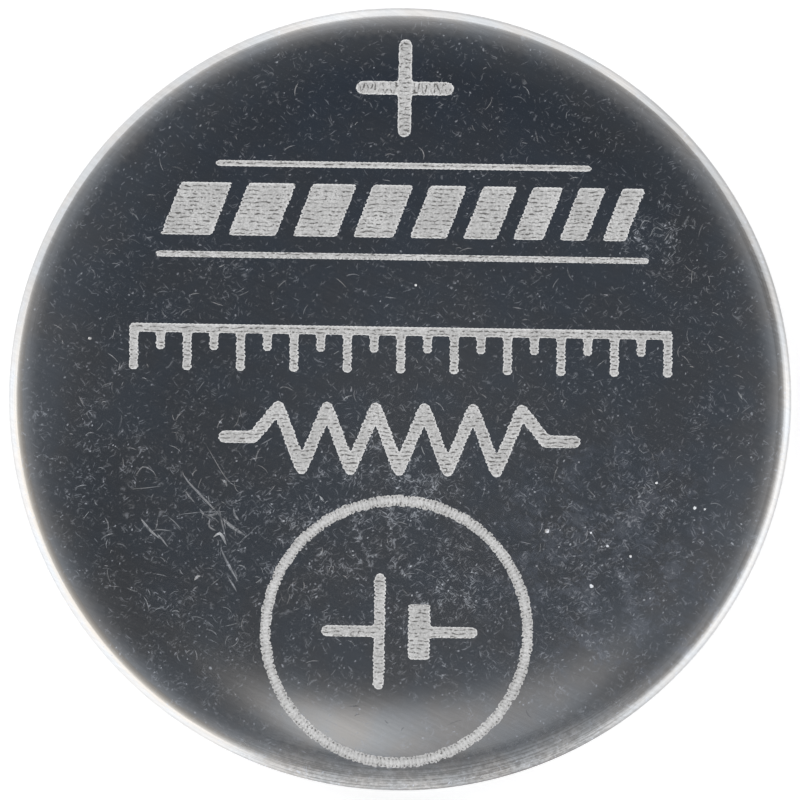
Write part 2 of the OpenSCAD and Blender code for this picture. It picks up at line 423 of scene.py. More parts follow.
def plus_rows(loop):
    """The plus sign's strokes run across each of its two bars."""
    middle = (loop.min(axis=0) + loop.max(axis=0)) / 2
    half = PLUS_STROKE / 2
    rows, groove = hatch_rows([loop], MARKS_TURN, PLUS_ZIGZAG, PLUS_FAINTEST)
    upright = np.abs(turned(rows - middle, -MARKS_TURN)[:, 0]) < half
    side_rows, side_groove = hatch_rows([loop], MARKS_TURN + math.pi / 2, PLUS_ZIGZAG, PLUS_FAINTEST)
    level = np.abs(turned(side_rows - middle, -MARKS_TURN)[:, 0]) > half + 0.03
    both = np.concatenate([groove[upright], side_groove[level]])
    return np.vstack([rows[upright], side_rows[level]]), both


def ring_rows(outer, inner):
    """The ring's strokes run across it, and their grooves are faint in the middle."""
    middle = (outer.mean(axis=0) + inner.mean(axis=0)) / 2
    r1 = np.linalg.norm(outer - middle, axis=1).mean() - RING_GAP
    r0 = np.linalg.norm(inner - middle, axis=1).mean() + RING_GAP
    lines = 2 * round(math.pi * (r0 + r1) / HATCH)
    rows, groove = [], []
    for k in range(lines):
        lean = dice.uniform(-0.5, 0.9)
        for step in range(4):
            turn = (k + lean * (step / 3 - 0.5) + dice.uniform(-0.25, 0.25)) / lines * 2 * math.pi
            rows.append(middle + polar(r0 + (r1 - r0) * step / 3, turn))
            if step in (0, 3):
                groove.append((k % 2) * dice.uniform(0.75, 1.0))
            else:
                groove.append((k % 2) * dice.uniform(0.3, 1.1) - 0.45)
    return np.array(rows), np.array(groove)


# Handling scratches that are wide enough to be cut in the mesh

# Points, width, depth and brightness of the ones that stand out
LONG_SCRATCHES = [
    ([(-5.55, -1.8), (-5.43, -2.06), (-4.76, -2.78), (-4.54, -3.03)], 0.055, 0.012, 0.32),
    ([(-4.56, -3.0), (-4.27, -3.26), (-3.93, -3.48)], 0.09, 0.016, 0.54),
    ([(-5.52, -2.27), (-5.38, -2.46), (-5.22, -2.65)], 0.045, 0.01, 0.36),
    ([(-5.12, -2.76), (-4.97, -2.95), (-4.69, -2.92), (-4.56, -2.7)], 0.065, 0.014, 0.43),
    ([(-5.65, -2.94), (-5.1, -2.88), (-4.4, -2.86)], 0.025, 0.006, 0.29),
    ([(-4.6, -2.8), (-4.55, -3.08), (-4.44, -3.52)], 0.045, 0.01, 0.36),
    ([(-4.76, -3.52), (-4.6, -3.41), (-4.5, -3.54), (-4.42, -3.72)], 0.075, 0.016, 1.5),
    ([(-4.84, -3.0), (-4.86, -3.24), (-4.66, -3.36)], 0.045, 0.01, 0.36),
    ([(-4.24, -2.74), (-4.21, -2.95), (-4.08, -3.1)], 0.065, 0.012, 0.47),
    ([(-4.57, -3.78), (-4.42, -4.12), (-4.12, -4.66)], 0.06, 0.012, 0.43),
    ([(-4.4, -4.5), (-4.26, -4.72), (-4.15, -4.92)], 0.045, 0.01, 0.32),
    ([(-6.62, -3.01), (-6.37, -3.33), (-6.11, -3.56)], 0.065, 0.012, 0.54),
    ([(-6.2, -3.4), (-6.05, -3.58), (-5.9, -3.78)], 0.045, 0.01, 0.43),
    ([(-6.37, -3.36), (-6.1, -3.32), (-5.8, -3.36)], 0.03, 0.007, 0.32),
    ([(-6.88, -2.29), (-6.48, -2.26), (-6.07, -2.21)], 0.022, 0.005, 0.25),
    ([(-4.56, -2.04), (-4.44, -2.12), (-4.42, -2.24)], 0.06, 0.012, 0.5),
    ([(-5.24, -4.62), (-5.17, -4.52), (-5.08, -4.5)], 0.06, 0.012, 1.0),
    ([(-5.92, -2.98), (-5.75, -3.12), (-5.56, -3.33)], 0.03, 0.007, 0.25),
    ([(-4.95, -1.15), (-4.4, -2.05), (-4.02, -2.25)], 0.022, 0.005, 0.22),
    ([(-6.75, -1.98), (-6.55, -1.72), (-6.28, -1.85), (-6.2, -2.02)], 0.03, 0.007, 0.32),
    ([(-2.06, -2.45), (-1.93, -2.62)], 0.06, 0.014, 1.2),
    ([(-2.16, -2.48), (-2.1, -2.4)], 0.04, 0.01, 0.58),
    ([(8.58, 0.22), (8.73, -0.02)], 0.045, 0.012, 0.58),
    ([(6.1, 4.35), (6.22, 4.55), (6.4, 4.5)], 0.03, 0.008, 0.43),
    ([(6.35, 4.1), (6.48, 4.36), (6.7, 4.3)], 0.032, 0.008, 0.5),
    ([(6.72, 4.02), (6.86, 4.24)], 0.03, 0.008, 0.5),
]

# Small bright pits: place and radius
PITS = [(3.74, -3.36, 0.06), (4.87, -4.76, 0.05), (5.28, -3.74, 0.035), (5.87, -4.0, 0.035),
        (7.5, -2.77, 0.04), (7.76, -2.8, 0.035), (6.53, -2.13, 0.035), (4.86, -3.4, 0.03),
        (-7.9, 1.55, 0.04), (0.4, 2.9, 0.03)]


def hair_scratches(count):
    """Short curved scratches, most of them on the lower left."""
    made = []
    while len(made) < count:
        x, y = dice.uniform(-9, 9), dice.uniform(-9, 9)
        near = math.exp(-((x - HAIR_AT[0]) ** 2 + (y - HAIR_AT[1]) ** 2) / HAIR_SPREAD)
        if math.hypot(x, y) > HAIR_REACH or dice.random() > 0.25 + 0.75 * near:
            continue
        length = dice.uniform(0.1, 0.42)
        heading = dice.uniform(0, math.pi)
        bend = dice.uniform(-1.5, 1.5)
        line = [(x, y)]
        for _ in range(3):
            heading += bend / 3
            x += math.cos(heading) * length / 3
            y += math.sin(heading) * length / 3
            line.append((x, y))
        width, depth = dice.uniform(0.014, 0.034), dice.uniform(0.003, 0.006)
        made.append((line, width, depth, dice.uniform(0.1, 0.6)))
    return made


def clear_of(line, loops, margin):
    """True if no point of the line lies within the margin of an outline's points or inside one."""
    for x, y in line:
        for loop in loops:
            if np.any(np.hypot(loop[:, 0] - x, loop[:, 1] - y) < margin):
                return False
        if len([c for c in crossings(loops, y) if c < x]) % 2:
            return False
    return True


def smooth_line(points, step):
    """Points at an even step along a smooth curve through the given ones."""
    p = np.vstack([2 * points[0] - points[1], points, 2 * points[-1] - points[-2]])
    out = []
    for i in range(1, len(p) - 2):
        n = max(2, round(np.linalg.norm(p[i + 1] - p[i]) / step))
        for j in range(n):
            t = j / n
            out.append(0.5 * (2 * p[i] + (p[i + 1] - p[i - 1]) * t
                              + (2 * p[i - 1] - 5 * p[i] + 4 * p[i + 1] - p[i + 2]) * t ** 2
                              + (3 * p[i] - p[i - 1] - 3 * p[i + 1] + p[i + 2]) * t ** 3))
    return np.array(out + [p[-2]])


# The can as one closed mesh: the marked, scratched face and a turned shell

class Face:
    """Plane points of the can's face, with the outlines and scratches that its triangles keep."""

    def __init__(self):
        self.points, self.depth, self.groove = [], [], []
        self.marks, self.cuts, self.bright = [], [], []

    def add(self, xy, depth, groove=0.0):
        """More points, each with its depth below the face. Gives their numbers."""
        n = len(xy)
        self.points += [(float(x), float(y)) for x, y in xy]
        self.depth += np.broadcast_to(depth, n).tolist()
        self.groove += np.broadcast_to(groove, n).tolist()
        return list(range(len(self.points) - n, len(self.points)))

    def add_marks(self, outlines):
        for loop in outlines:
            self.marks.append(self.add(loop, 0, RING_EDGE if is_round(loop) else EDGE))
        rings = sorted(filter(is_round, outlines), key=area, reverse=True)
        plus = next(filter(is_plus, outlines))
        others = [loop for loop in outlines if not (is_round(loop) or is_plus(loop))]
        for rows, groove in (hatch_rows(others), ring_rows(*rings), plus_rows(plus)):
            self.add(rows, ETCH_DEPTH + RIDGE * (2 * groove - 1), groove)

    def add_scratch(self, points, width, depth, bright):
        """A tapered scratch: a border level with the face and a line of points below it."""
        line = smooth_line(np.array(points), SCRATCH_STEP)
        ahead = np.gradient(line, axis=0)
        ahead /= np.linalg.norm(ahead, axis=1)[:, None]
        taper = np.sin(np.linspace(0, math.pi, len(line))) ** 0.6
        side = np.column_stack([-ahead[:, 1], ahead[:, 0]]) * (taper * width / 2)[:, None]
        border = np.vstack([line, line[1:-1][::-1]]) + np.vstack([side, -side[1:-1][::-1]])
        self.cuts.append(self.add(border if area(border) > 0 else border[::-1], 0))
        self.bright.append(bright)
        self.add(line[1:-1], depth * taper[1:-1])

    def add_pit(self, x, y, r):
        turn = 2 * math.pi / PIT_CORNERS
        border = [polar(r * dice.uniform(0.75, 1.2), i * turn) + (x, y) for i in range(PIT_CORNERS)]
        self.cuts.append(self.add(border, 0))
        self.bright.append(PIT_BRIGHT)
        self.add([(x + 0.2 * r, y - 0.1 * r)], 0.5 * r)

    def add_dome(self, outlines):
        """Rings of points on the part of the face that falls away."""
        for k in range(1, DOME_RINGS):
            r = DOME_START + (DISC_R - DOME_START) * k / DOME_RINGS
            ring = circle(r, DOME_AROUND, 0.5 * (k % 2))
            self.add([p for p in ring if clear_of([p], outlines, DOME_CLEARANCE)], 0)


def dressed_face():
    """The face with its rim, marks, scratches and pits. The rim's points come first."""
    outlines = mark_outlines()
    face = Face()
    face.add(circle(DISC_R, AROUND), 0)
    face.add_marks(outlines)
    for line, width, depth, bright in LONG_SCRATCHES + hair_scratches(HAIR_COUNT):
        if clear_of(line, outlines, CLEARANCE + width):
            face.add_scratch(line, width, depth, bright)
    for x, y, r in PITS:
        if clear_of([(x, y)], outlines, CLEARANCE + r):
            face.add_pit(x, y, r)
    face.add_dome(outlines)
    return face


def triangulated(face):
    """Vertices and triangles of the face, what each of them carries, and the vertices of the rim."""
    rim_edges = [(i, (i + 1) % AROUND) for i in range(AROUND)]
    kept = geometry.delaunay_2d_cdt(face.points, rim_edges, face.marks + face.cuts, 0, 1e-7)
    plane, _, tris, from_point, _, from_loop = kept
    flat = np.array([(p[0], p[1]) for p in plane])
    below = np.array([face.depth[olds[0]] if olds else 0.0 for olds in from_point])
    groove = [face.groove[olds[0]] if olds else 0.0 for olds in from_point]
    new_of = {old: new for new, olds in enumerate(from_point) for old in olds}
    n_marks = len(face.marks)
    faces, etched, cut = [], [], []
    for tri, inside in zip(tris, from_loop):
        (ax, ay), (bx, by), (cx, cy) = (flat[i] for i in tri)
        up = (bx - ax) * (cy - ay) - (by - ay) * (cx - ax) > 0
        faces.append(tuple(tri) if up else tuple(reversed(tri)))
        etched.append(sum(i < n_marks for i in inside) % 2 == 1)
        cut.append(max((face.bright[i - n_marks] for i in inside if i >= n_marks), default=0.0))
        # A point that has slipped over an outline stays level with the polished face
        if not etched[-1] and not cut[-1]:
            below[list(tri)] = 0.0
    z = face_height(np.hypot(flat[:, 0], flat[:, 1])) - below
    verts = list(map(tuple, np.column_stack([flat, z])))
    return verts, faces, groove, etched, cut, [new_of[i] for i in range(AROUND)]


def add_shell(verts, faces, ring):
    """The can's section turned about the axis, joined to the rim of the face."""
    *rings, (_, floor_height) = can_section()[1:]
    for r, height in rings:
        new = list(range(len(verts), len(verts) + AROUND))
        verts += [(*point, height) for point in circle(r, AROUND)]
        for i in range(AROUND):
            j = (i + 1) % AROUND
            faces.append((ring[i], new[i], new[j], ring[j]))
        ring = new
    verts.append((0, 0, float(floor_height)))
    faces += [(ring[i], len(verts) - 1, ring[(i + 1) % AROUND]) for i in range(AROUND)]


def build_can():
    verts, faces, groove, etched, cut, rim = triangulated(dressed_face())
    add_shell(verts, faces, rim)
    plain_verts = len(verts) - len(groove)
    plain_faces = len(faces) - len(etched)
    smooth = [not e and not c for e, c in zip(etched, cut)]
    mesh = bpy.data.meshes.new("can_shell")
    mesh.from_pydata([(x * MM, y * MM, h * MM) for x, y, h in verts], [], faces)
    mesh.polygons.foreach_set("use_smooth", smooth + [True] * plain_faces)
    mesh.polygons.foreach_set("material_index", [int(e) for e in etched] + [0] * plain_faces)
    stroke = mesh.attributes.new("groove", "FLOAT", "POINT")
    stroke.data.foreach_set("value", groove + [0.0] * plain_verts)
    bare = mesh.attributes.new("cut", "FLOAT", "FACE")
    bare.data.foreach_set("value", [float(c) for c in cut] + [0.0] * plain_faces)
    set_face_normals(mesh, smooth)
    return mesh


def set_face_normals(mesh, smooth):
    """The polished face gets the normals of its true surface, so that thin triangles don't show on it."""
    mesh.set_sharp_from_angle(angle=math.radians(40))
    normals = read(mesh.corner_normals, "vector", 3, np.float32)
    co = read(mesh.vertices, "co", 3)[read(mesh.loops, "vertex_index", kind=int)] / MM
    starts = read(mesh.polygons, "loop_start", kind=int)
    polished = np.zeros(len(mesh.loops), bool)
    for at in starts[:len(smooth)][np.array(smooth)]:
        polished[at:at + 3] = True
    r = np.hypot(co[:, 0], co[:, 1])
    level = np.abs(face_height(r) - co[:, 2]) < 1e-4
    rim = (np.abs(r - DISC_R) < 1e-3) & (co[:, 2] > CELL_H - FACE_BEND / 2)
    tilt = face_slope(r)
    outward = np.maximum(r, 1e-9)
    true = np.column_stack([tilt * co[:, 0] / outward, tilt * co[:, 1] / outward, np.ones(len(r))])
    true /= np.linalg.norm(true, axis=1)[:, None]
    known = (polished & level) | rim
    normals[known] = true[known]
    mesh.normals_split_custom_set([tuple(n) for n in normals])


# Sections of the two other pieces that show, with values of the part's source

PINCH = 0.14
GASKET_WALL = 0.3
GASKET_SHOW = 0.18
FOOT = 0.2
RIB_H = 0.16
RIB_T = 0.2
CAP_BEND = 0.25
STEP_ANGLE = math.radians(60)
SHOULDER_W = 0.54
SKIRT_ROUND = 0.02

BEND_OUT = CAP_BEND + SHEET / 2
BEND_IN = CAP_BEND - SHEET / 2
LIP_TIP = CRIMP_C + (CRIMP_R - SHEET) * LIP_ACROSS + LIP_LEN * LIP_ALONG
SHOULDER = LIP_TIP[1] + PINCH
SKIRT_R = CELL_R - SHEET - GASKET_WALL
SKIRT_END = CELL_H - SHEET - FOOT
SKIRT_C = (SKIRT_R - BEND_OUT, SHOULDER + BEND_OUT)


def cap_section():
    rise = SHOULDER - 2 * CAP_BEND * (1 - math.cos(STEP_ANGLE))
    run = 2 * CAP_BEND * math.sin(STEP_ANGLE) + rise / math.tan(STEP_ANGLE)
    contact = SKIRT_R - BEND_OUT - SHOULDER_W - run
    quarter = math.pi / 2
    foot_c = (contact, BEND_OUT)
    shoulder_c = (contact + run, SHOULDER - BEND_IN)
    below = arc(foot_c, BEND_OUT, -quarter, STEP_ANGLE - quarter, 10)
    below += arc(shoulder_c, BEND_IN, STEP_ANGLE + quarter, quarter, 8)
    below += arc(SKIRT_C, BEND_OUT, -quarter, 0, 14)
    above = arc(SKIRT_C, BEND_IN, 0, -quarter, 8)
    above += arc(shoulder_c, BEND_OUT, quarter, STEP_ANGLE + quarter, 8)
    above += arc(foot_c, BEND_IN, STEP_ANGLE - quarter, -quarter, 8)
    inside = SKIRT_R - SHEET
    ends = [(SKIRT_R, SKIRT_END - SKIRT_ROUND), (SKIRT_R - SKIRT_ROUND, SKIRT_END)]
    ends += [(inside + SKIRT_ROUND, SKIRT_END), (inside, SKIRT_END - SKIRT_ROUND)]
    return [(0, 0), *below, *ends, *above, (0, SHEET)]


def gasket_section():
    inner = SKIRT_R - SHEET
    rib = SKIRT_END - RIB_H
    edge = LIP_TIP[0] - GASKET_SHOW
    tip = LIP_TIP[1]
    out = arc(SKIRT_C, BEND_OUT, -math.pi / 2, 0, 12)
    out += [(SKIRT_R, SKIRT_END), (inner, SKIRT_END), (inner, rib)]
    out += [(inner - RIB_T, rib), (inner - RIB_T, CELL_H - SHEET)]
    out += arc(INNER_BEND_C, FACE_BEND - SHEET, math.pi / 2, 0, 10)
    out += arc(CRIMP_C, CRIMP_R - SHEET, 0, -CRIMP_ANGLE, 10)
    # The squeezed plastic swells a little past the tip of the lip
    out += [LIP_TIP, LIP_TIP + (-0.04, -0.03), (edge + 0.06, tip - 0.02), (edge + 0.015, tip + 0.02)]
    out += [(edge, tip + 0.06), (edge + 0.01, SHOULDER)]
    return out


def lathe(name, section):
    """A closed section turned about the axis. A point on the axis becomes one vertex."""
    verts, rings, faces = [], [], []
    for r, height in section:
        if r < 1e-6:
            rings.append([len(verts)] * AROUND)
            verts.append((0, 0, height * MM))
        else:
            rings.append(list(range(len(verts), len(verts) + AROUND)))
            verts += [(*(point * MM), height * MM) for point in circle(r, AROUND)]
    pairs = list(zip(rings, rings[1:]))
    if section[0][0] > 1e-6:
        pairs.append((rings[-1], rings[0]))
    for a, b in pairs:
        for i in range(AROUND):
            j = (i + 1) % AROUND
            corners = dict.fromkeys((a[j], a[i], b[i], b[j]))
            if len(corners) > 2:
                faces.append(tuple(corners))
    mesh = bpy.data.meshes.new(name)
    mesh.from_pydata(verts, [], faces)
    mesh.polygons.foreach_set("use_smooth", [True] * len(faces))
    mesh.set_sharp_from_angle(angle=math.radians(50))
    return mesh


def piece(mesh, replaced, materials):
    ob = new_object(mesh.name, mesh)
    for material in materials:
        mesh.materials.append(material)
    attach(ob, body)
    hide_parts(replaced)


# Materials

class Nodes:
    """A short way to write a node material or world."""

    def __init__(self, owner):
        owner.use_nodes = True
        self.tree = owner.node_tree
        self.tree.nodes.clear()

    def add(self, kind, inputs=None, **settings):
        node = self.tree.nodes.new("ShaderNode" + kind)
        for key, value in settings.items():
            setattr(node, key, value)
        for key, value in (inputs or {}).items():
            if isinstance(value, bpy.types.NodeSocket):
                self.tree.links.new(value, node.inputs[key])
            else:
                node.inputs[key].default_value = value
        return node

    def math(self, operation, a, b=0.0):
        return self.add("Math", {0: a, 1: b}, operation=operation).outputs[0]

    def total(self, *values):
        return reduce(partial(self.math, "ADD"), values)

    def product(self, *values):
        return reduce(partial(self.math, "MULTIPLY"), values)

    def most(self, *values):
        return reduce(partial(self.math, "MAXIMUM"), values)

    def vector(self, operation, a, b=(0, 0, 0)):
        node = self.add("VectorMath", {0: a, 1: b}, operation=operation)
        return node.outputs["Value" if operation in ("DISTANCE", "LENGTH") else "Vector"]

    def scaled(self, vector, factor):
        return self.add("VectorMath", {0: vector, "Scale": factor}, operation="SCALE").outputs[0]

    def stretched(self, place, scale, angle=0.0, location=(0, 0, 0)):
        """Coordinates for streaks that lie at an angle and are as long and wide as the scale says."""
        inputs = {"Vector": place, "Location": location, "Rotation": (0, 0, angle), "Scale": scale}
        return self.add("Mapping", inputs, vector_type="TEXTURE").outputs[0]

    def span(self, value, low, high, to_low=0.0, to_high=1.0, smooth=True):
        inputs = {"Value": value, "From Min": low, "From Max": high, "To Min": to_low, "To Max": to_high}
        kind = "SMOOTHSTEP" if smooth else "LINEAR"
        return self.add("MapRange", inputs, interpolation_type=kind).outputs["Result"]

    def blend(self, fac, a, b):
        return self.add("Mix", {0: fac, 6: a, 7: b}, data_type="RGBA").outputs[2]

    def noise(self, place, scale, detail=2.0, rough=0.5):
        inputs = {"Vector": place, "Scale": scale, "Detail": detail, "Roughness": rough}
        return self.add("TexNoise", inputs).outputs["Fac"]

    def attribute(self, name):
        return self.add("Attribute", attribute_name=name, attribute_type="GEOMETRY").outputs["Fac"]

    def place(self):
        """The point on the piece in millimetres."""
        return self.scaled(self.add("TexCoord").outputs["Object"], 1 / MM)

    def xyz(self, x, y, z):
        return self.add("CombineXYZ", {0: x, 1: y, 2: z}).outputs[0]

    def principled(self, inputs):
        shader = self.add("BsdfPrincipled", inputs)
        self.add("OutputMaterial", {"Surface": shader.outputs[0]})


def colour(r, g, b):
    return (r, g, b, 1.0)


# Handling wear of the face: place, reach and strength of each worn patch
WORN_PATCHES = ((-4.4, -3.2, 5.0, 0.08), (-1.0, -3.4, 3.6, 0.42), (4.6, -3.6, 4.5, 0.22),
                (1.6, -5.6, 2.6, 0.27), (0.2, -2.3, 2.2, 0.40), (6.6, 4.3, 1.6, 0.50),
                (-4.5, 4.0, 3.0, 0.10), (-8.2, -1.0, 2.5, 0.20), (0.6, 0.2, 3.2, 0.12))
# Layers of straight scuffs, the last one of specks: angle, length, width, share of the cells that
# hold one, offset and contrast
SCUFF_LAYERS = ((0.5, 0.34, 0.046, 0.70, 3.1, 1.7), (1.1, 0.26, 0.042, 0.70, 11.7, 1.7),
                (2.3, 0.40, 0.048, 0.60, 23.3, 1.7), (2.9, 0.24, 0.042, 0.55, 37.9, 1.7),
                (0.8, 0.115, 0.095, 0.90, 51.3, 5.0))
# Layers of curved scuffs: scale, width and offset
HAIR_LAYERS = ((2.4, 0.030, 5.2), (3.6, 0.040, 17.4), (1.6, 0.022, 29.6))
# Painted shade on parts of the rolled edge, standing in for dark things it reflects: direction, half width
# where full, half width where gone, strength
SHADED_EDGE_SECTORS = ((32, 8, 34, 0.42), (66, 10, 40, 0.25), (138, 16, 46, 0.32), (-62, 14, 34, 0.18))
# Painted shade on the rest of the rolled edge
EDGE_SHADE_ELSEWHERE = 0.04
# Bluish haze on the lower right, and faint veils in the middle and at the left: place, reach and core
HAZE_AT = (5.4, -4.0, 4.6, 0.8)
VEILS_AT = ((0.3, 0.2, 5.0, 1.0), (-8.4, 0.2, 2.8, 0.6))
# Tones that steel goes towards where it is darker (drawing lines, wear and painted shade), tarnished and
# scuffed
DARK_GREY = colour(0.12, 0.115, 0.11)
TARNISH = colour(0.76, 0.70, 0.62)
SCUFF_BLUE = colour(0.70, 0.74, 0.82)


def dashes(n, place, much, angle, length, width, share, seed, contrast):
    """Short straight scuffs that lie at one angle."""
    turn = n.stretched(place, (length, width, 1.0), angle, (seed, 0.37 * seed, 0))
    cell = n.add("TexVoronoi", {"Vector": turn, "Scale": 1.0}, voronoi_dimensions="2D")
    parts = n.add("SeparateColor", {0: cell.outputs["Color"]})
    drawn = n.span(cell.outputs["Distance"], 0.32, 0.10)
    chosen = n.math("LESS_THAN", parts.outputs[0], n.product(much, share))
    return n.product(drawn, chosen, n.math("POWER", parts.outputs[1], contrast), 0.5 + 0.3 * contrast)


def hairs(n, place, gate, scale, width, seed):
    """Short curved scuffs, cut out of the contour lines of a noise. They are kept where gate is high."""
    moved = n.vector("ADD", place, (seed, -seed, 0.5 * seed))
    bend = n.noise(moved, scale, detail=1.0)
    line = n.span(n.math("ABSOLUTE", n.math("SUBTRACT", bend, 0.5)), width, 0.0)
    pieces = n.noise(moved, scale * 3.1, detail=1.0)
    return n.product(line, n.span(n.total(pieces, gate), 0.52, 0.68, 0.0, 0.75))


def around(n, place, x, y, reach, core):
    """1 near a point of the face, falling to 0 at the reach."""
    return n.span(n.vector("DISTANCE", place, (x, y, CELL_H)), reach, core)


def wear_map(n, place):
    """How much handling wear each part of the face has: most in the patches of heavy wear and lower down.
    """
    parts = [n.product(around(n, place, x, y, reach, 0.1 * reach), most)
             for x, y, reach, most in WORN_PATCHES]
    y = n.add("SeparateXYZ", {0: place}).outputs[1]
    patchy = n.span(n.noise(place, 1.1, detail=3.0, rough=0.6), 0.36, 0.66, 0.35, 1.25)
    clumps = n.span(n.noise(place, 3.1, detail=1.0), 0.40, 0.58, 0.45, 1.30)
    return n.product(n.total(n.span(y, 6.0, -2.0, 0.18, 0.29), *parts), patchy, clumps)


def scuff_marks(n, place, much):
    """Straight and curved scuffs and small specks."""
    waver = n.add("TexNoise", {"Vector": place, "Scale": 2.6, "Detail": 1.0})
    bent = n.vector("ADD", place, n.scaled(waver.outputs["Color"], 0.25))
    gate = n.span(much, 0.1, 1.2, -0.08, 0.08, smooth=False)
    straight = [dashes(n, bent, much, *layer) for layer in SCUFF_LAYERS]
    curved = [hairs(n, place, gate, *layer) for layer in HAIR_LAYERS]
    return n.product(n.most(*straight, *curved), n.span(much, 0.15, 1.1, 0.45, 1.0))


def round_place(n, place):
    """Radius, height, and cosine and sine of the angle about the axis."""
    split = n.add("SeparateXYZ", {0: place})
    flat = n.xyz(split.outputs[0], split.outputs[1], 0.0)
    turn = n.math("ARCTAN2", split.outputs[1], split.outputs[0])
    return n.vector("LENGTH", flat), split.outputs[2], n.math("COSINE", turn), n.math("SINE", turn)


def toward(n, cos, sin, angle, inner, outer):
    """1 in the sector round an angle, falling to 0 at the outer half width. All in degrees."""
    a = math.radians(angle)
    along = n.total(n.product(cos, math.cos(a)), n.product(sin, math.sin(a)))
    return n.span(along, math.cos(math.radians(outer)), math.cos(math.radians(inner)))


def edge_painted_shade(n, r, cos, sin, outer):
    """How much painted shade each part of the rolled edge gets, standing in for dark things that it
    reflects.
    """
    sectors = [n.product(toward(n, cos, sin, *at), strength) for *at, strength in SHADED_EDGE_SECTORS]
    # Painted shade on the outermost part of the edge, where it reflects the shadow under the cell, and more
    # of it towards the right
    rim = n.span(r, 9.93, 9.98, 0.0, 0.12)
    right_rim_shade = n.product(toward(n, cos, sin, 15, 60, 130), n.span(r, 9.90, 9.95), 0.20)
    # Painted shade on a band on the right, standing in for a darker reflection there
    right_band_shade = n.product(toward(n, cos, sin, -14, 20, 52), n.span(r, 9.60, 9.68),
                           n.span(r, 9.86, 9.80), 0.30)
    return n.total(n.product(n.most(EDGE_SHADE_ELSEWHERE, *sectors), outer), rim, right_rim_shade, right_band_shade)


def edge_wear_and_shade(n, place):
    """Where the rolled edge is, drawing lines, wear, how much darker they and painted shade make it, and
    tarnish.

    The lower part of the edge has mottled streaks of wear and is rougher, and its grey is partly painted
    shade for a darker reflection. The side of the can is scuffed much less, its drawing lines show
    more, and painted shade darkens all of it."""
    r, z, cos, sin = round_place(n, place)
    roll = n.span(z, CELL_H - 1.0, CELL_H - 0.5, 0.15, 1.0)
    ringwise = n.xyz(n.product(n.math("SUBTRACT", r, z), 24.0), n.product(cos, 2.4), n.product(sin, 2.4))
    line = n.noise(ringwise, 1.0, detail=3.0, rough=0.65)
    edge = n.span(r, 8.95, 9.5)
    outer = n.span(r, 9.55, 9.8)
    drawn = n.product(n.span(line, 0.48, 0.72), edge)
    # The lower part of the edge: rougher, with mottled streaks of wear, and darkened partly by painted
    # shade that stands in for a darker reflection there
    worn_and_shaded = n.product(toward(n, cos, sin, -84, 14, 38), n.span(r, 9.05, 9.6), roll)
    mottle = n.span(n.total(line, n.noise(place, 7.0, detail=4.0, rough=0.75)), 0.80, 1.16)
    # The side of the can: drawing lines over a painted shade that darkens all of it, so that it stands
    # apart from the white floor
    wall_lines_and_shade = n.product(n.math("SUBTRACT", 1.0, roll), n.span(line, 0.36, 0.64, 0.12, 0.42))
    # How much darker: drawing lines; the lower part, with mottled streaks of wear and partly painted shade;
    # painted shade on the rolled edge; and the side of the can, with drawing lines over painted shade
    darker = n.total(n.product(drawn, 0.16), n.product(worn_and_shaded, 0.10, outer), n.product(worn_and_shaded, mottle, 0.42),
                     n.product(edge_painted_shade(n, r, cos, sin, outer), roll), wall_lines_and_shade)
    tarnish = n.product(toward(n, cos, sin, 208, 18, 48), n.span(r, 9.58, 9.66), n.span(r, 9.90, 9.80))
    return edge, drawn, worn_and_shaded, darker, tarnish


def steel_tone(n, place, tint, darker, tarnish, scuffed):
    """Two close tones in soft patches, brushed, then the tones of the darker parts (wear and painted
    shade), the tarnished and the scuffed parts.
    """
    base = n.blend(n.span(n.noise(place, 0.8, detail=3.0), 0.35, 0.65),
                   colour(tint[0], tint[1] * 0.99, tint[2] * 0.975),
                   colour(tint[0] * 0.955, tint[1], tint[2] * 1.04))
    brush = n.stretched(place, (2.4, 0.07, 1.0), -0.45)
    brushed = n.span(n.noise(brush, 1.0, detail=3.0, rough=0.6), 0.3, 0.7, 0.0, 0.10)
    base = n.blend(n.total(brushed, darker), base, DARK_GREY)
    base = n.blend(n.product(tarnish, 0.7), base, TARNISH)
    return n.blend(n.span(scuffed, 0.0, 0.5, 0.0, 0.6), base, SCUFF_BLUE)


